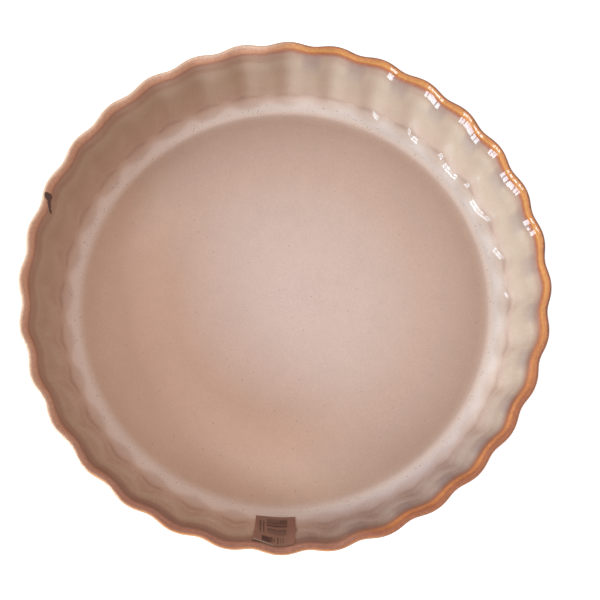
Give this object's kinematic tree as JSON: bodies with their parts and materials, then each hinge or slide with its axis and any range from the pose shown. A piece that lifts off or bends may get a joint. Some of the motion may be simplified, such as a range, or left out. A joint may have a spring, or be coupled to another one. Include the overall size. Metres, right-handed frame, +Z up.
{
  "type": "pie dish",
  "caption": "Round shallow stoneware pie dish with a fluted, outward-leaning wall, flared amber lip and foot ring, with a small paper label stuck inside.",
  "frame": {"origin": "centre of the foot ring's underside, on the surface the dish stands on", "axes": "+Z up along the dish's axis; +X through a flute crest, to the right as the picture shows the dish; the label is on the -Y side"},
  "size_m": [0.28, 0.28, 0.046],
  "materials": {
    "glaze": "gloss reactive glaze, pinkish cream inside, breaking to amber on the lip",
    "label_paper": "matt reddish-brown printed paper"
  },
  "bodies": {
    "root": {"dish": "glaze", "label": "label_paper"}
  },
  "joints": []
}
